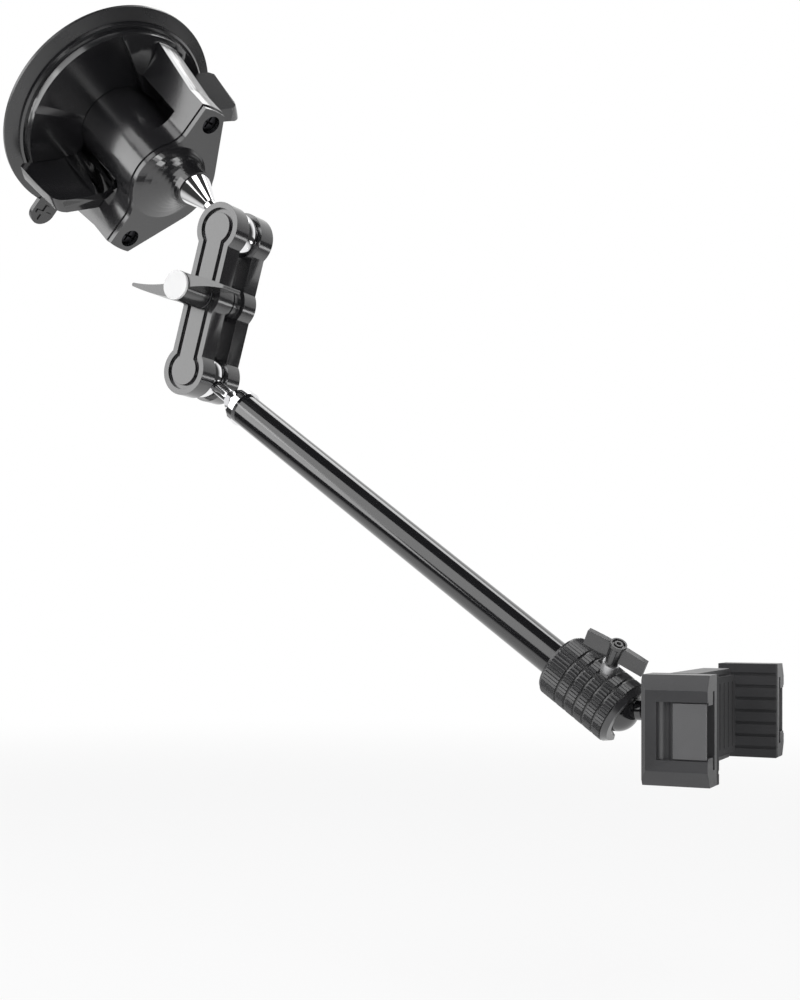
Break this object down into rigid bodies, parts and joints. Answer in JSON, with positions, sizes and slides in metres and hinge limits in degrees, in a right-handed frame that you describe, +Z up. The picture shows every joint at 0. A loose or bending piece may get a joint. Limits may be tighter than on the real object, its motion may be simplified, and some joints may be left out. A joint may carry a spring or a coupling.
{
  "type": "suction cup phone holder",
  "caption": "Twist-lock suction cup on a sloping screen, ball-jointed arm and long tube to a knurled ball head with a spring clamp that grips a phone by its sides",
  "frame": {"origin": "middle of the sealing plane of the suction cup, on the glass", "axes": "+Z up, -Y towards the user, +X to the user's right"},
  "size_m": [0.1354, 0.3071, 0.283],
  "materials": {
    "cup_rubber": "smooth black rubber",
    "gloss_black": "glossy black",
    "acetal": "natural white",
    "steel": "zinc plated",
    "dark_screw": "black zinc",
    "chrome": "polished chrome",
    "arm_black": "satin black",
    "spring_wire": "bright wire",
    "knob_black": "satin black",
    "pale_cap": "pale grey",
    "tube_black": "glossy black",
    "plug_plastic": "black",
    "head_black": "satin black, knurled",
    "brass": "machined",
    "nut_grey": "grey",
    "clamp_black": "satin charcoal",
    "insert_black": "satin charcoal",
    "pad_rubber": "soft grey rubber"
  },
  "bodies": {
    "cup": {"suction_membrane": "cup_rubber", "base_housing": "gloss_black", "cup_bridge": "gloss_black", "ball_plate": "gloss_black", "plate_screws": "dark_screw", "stud_nut": "steel", "lever_washer": "acetal"},
    "lever": {"twist_lever": "gloss_black", "cam_ring": "acetal"},
    "stem": {"pull_stem": "steel", "cam_pin": "steel"},
    "top_stud": {"base_ball_stud": "chrome"},
    "arm": {"arm_half_far": "arm_black", "arm_bolt": "steel", "arm_spring": "spring_wire"},
    "arm_near": {"arm_half_near": "arm_black", "knob_washer": "steel"},
    "knob": {"arm_knob": "knob_black", "knob_nut": "steel", "knob_cap": "pale_cap"},
    "low_stud": {"pole_ball_stud": "chrome"},
    "pole": {"pole_top_cap": "chrome", "pole_tube": "tube_black", "pole_end_plug": "plug_plastic", "ball_head_housing": "head_black", "ball_seat": "acetal", "seat_spring": "spring_wire"},
    "lock_pad": {"pressure_pad": "brass"},
    "lock_knob": {"head_knob": "knob_black", "lock_screw": "steel"},
    "grip_stud": {"clamp_ball_stud": "tube_black"},
    "clamp": {"clamp_lock_nut": "nut_grey", "clamp_rear_shell": "clamp_black", "clamp_front_cover": "clamp_black", "clamp_back_pad": "pad_rubber", "clamp_screws": "steel", "pinion_axle": "steel", "left_spring": "spring_wire", "right_spring": "spring_wire"},
    "gear": {"pinion": "brass"},
    "left_jaw": {"left_jaw_frame": "clamp_black", "left_jaw_insert": "insert_black", "left_jaw_pad": "pad_rubber", "left_rack": "insert_black"},
    "right_jaw": {"right_jaw_frame": "clamp_black", "right_jaw_insert": "insert_black", "right_jaw_pad": "pad_rubber", "right_rack": "insert_black"}
  },
  "joints": [
    {"name": "lever_turn", "type": "hinge", "parent": "cup", "child": "lever", "pos_m": [0, 0, 0], "axis": [-0.1236, -0.6937, -0.7096], "range_deg": [-96, 0]},
    {"name": "stem_lift", "type": "slide", "parent": "cup", "child": "stem", "axis": [-0.1236, -0.6937, -0.7096], "range_m": [-0.003, 0], "deforming": ["suction_membrane"]},
    {"name": "stud_spin", "type": "hinge", "parent": "cup", "child": "top_stud", "pos_m": [-0.0002, -0.00441, 0.00435], "axis": [-0.1236, -0.6937, -0.7096], "continuous": true},
    {"name": "arm_swing", "type": "hinge", "parent": "top_stud", "child": "arm", "pos_m": [-0.0115, -0.06782, -0.0605], "axis": [0.9952, -0.0871, -0.0455], "range_deg": [-30, 40]},
    {"name": "arm_open", "type": "slide", "parent": "arm", "child": "arm_near", "axis": [-0.9952, 0.0871, 0.0455], "range_m": [0, 0.00161], "deforming": ["arm_spring"]},
    {"name": "arm_knob_turn", "type": "hinge", "parent": "arm_near", "child": "knob", "pos_m": [-0.01203, -0.06119, -0.08492], "axis": [-0.9952, 0.0871, 0.0455], "range_deg": [0, 720]},
    {"name": "pole_swing", "type": "hinge", "parent": "arm", "child": "low_stud", "pos_m": [-0.01264, -0.05367, -0.11261], "axis": [0.9952, -0.0871, -0.0455], "range_deg": [-30, 30]},
    {"name": "pole_spin", "type": "hinge", "parent": "low_stud", "child": "pole", "pos_m": [-0.01264, -0.05367, -0.11261], "axis": [0.1185, 0.8125, 0.5707], "continuous": true},
    {"name": "lock_travel", "type": "slide", "parent": "pole", "child": "lock_pad", "axis": [-0.4883, -0.4527, 0.746], "range_m": [0, 0.0008]},
    {"name": "head_knob_turn", "type": "hinge", "parent": "lock_pad", "child": "lock_knob", "pos_m": [-0.03681, -0.21935, -0.22898], "axis": [-0.4883, -0.4527, 0.746], "range_deg": [0, 361]},
    {"name": "clamp_tilt", "type": "hinge", "parent": "pole", "child": "grip_stud", "pos_m": [-0.03777, -0.22593, -0.2336], "axis": [1, 0, 0], "range_deg": [-3, 60]},
    {"name": "clamp_spin", "type": "hinge", "parent": "grip_stud", "child": "clamp", "pos_m": [-0.03777, -0.22593, -0.2336], "axis": [0, -1, 0], "continuous": true},
    {"name": "left_jaw_slide", "type": "slide", "parent": "clamp", "child": "left_jaw", "axis": [-1, 0, 0], "range_m": [-0.008, 0.007], "stiffness_N_per_m": 120, "deforming": ["left_spring"]},
    {"name": "right_jaw_slide", "type": "slide", "parent": "clamp", "child": "right_jaw", "axis": [1, 0, 0], "range_m": [-0.0081, 0.0071], "deforming": ["right_spring"]},
    {"name": "pinion_turn", "type": "hinge", "parent": "clamp", "child": "gear", "pos_m": [-0.03777, -0.24683, -0.2353], "axis": [0, -1, 0], "range_deg": [-116, 102]}
  ],
  "couplings": [
    {"joint": "stem_lift", "follows": "lever_turn", "m_per_rad": 0.0017903},
    {"joint": "arm_open", "follows": "arm_knob_turn", "m_per_rad": 0.00012732},
    {"joint": "head_knob_turn", "follows": "lock_travel", "rad_per_m": 7854},
    {"joint": "right_jaw_slide", "follows": "left_jaw_slide", "ratio": 1},
    {"joint": "pinion_turn", "follows": "left_jaw_slide", "rad_per_m": 250}
  ]
}
